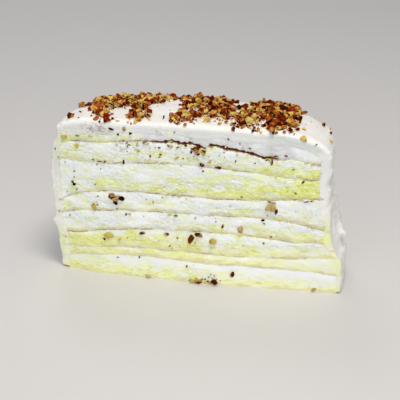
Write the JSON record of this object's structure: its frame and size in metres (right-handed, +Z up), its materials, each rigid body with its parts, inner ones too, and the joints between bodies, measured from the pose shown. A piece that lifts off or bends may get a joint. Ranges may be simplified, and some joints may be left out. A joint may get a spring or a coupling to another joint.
{
  "type": "biscuit cream cake",
  "caption": "Tall piece of layered biscuit cream cake, cut straight across, with white icing on the top, ends and back and chopped nuts on the crown.",
  "frame": {"origin": "middle of the base, under the centre of the bounding box", "axes": "+X to the right along the cut, -Y out of the cut, towards the viewer, +Z up"},
  "size_m": [0.1598, 0.0698, 0.0929],
  "materials": {
    "icing": null,
    "biscuit": "pale yellow sponge biscuit, soaked and matt",
    "cream": "cool white cream, matt"
  },
  "bodies": {
    "root": {"icing": "icing", "biscuit_1": "biscuit", "biscuit_2": "biscuit", "biscuit_3": "biscuit", "biscuit_4": "biscuit", "biscuit_5": "biscuit", "biscuit_6": "biscuit", "biscuit_7": "biscuit", "biscuit_8": "biscuit", "cream_1": "cream", "cream_2": "cream", "cream_3": "cream", "cream_4": "cream", "cream_5": "cream", "cream_6": "cream", "cream_7": "cream"}
  },
  "joints": []
}
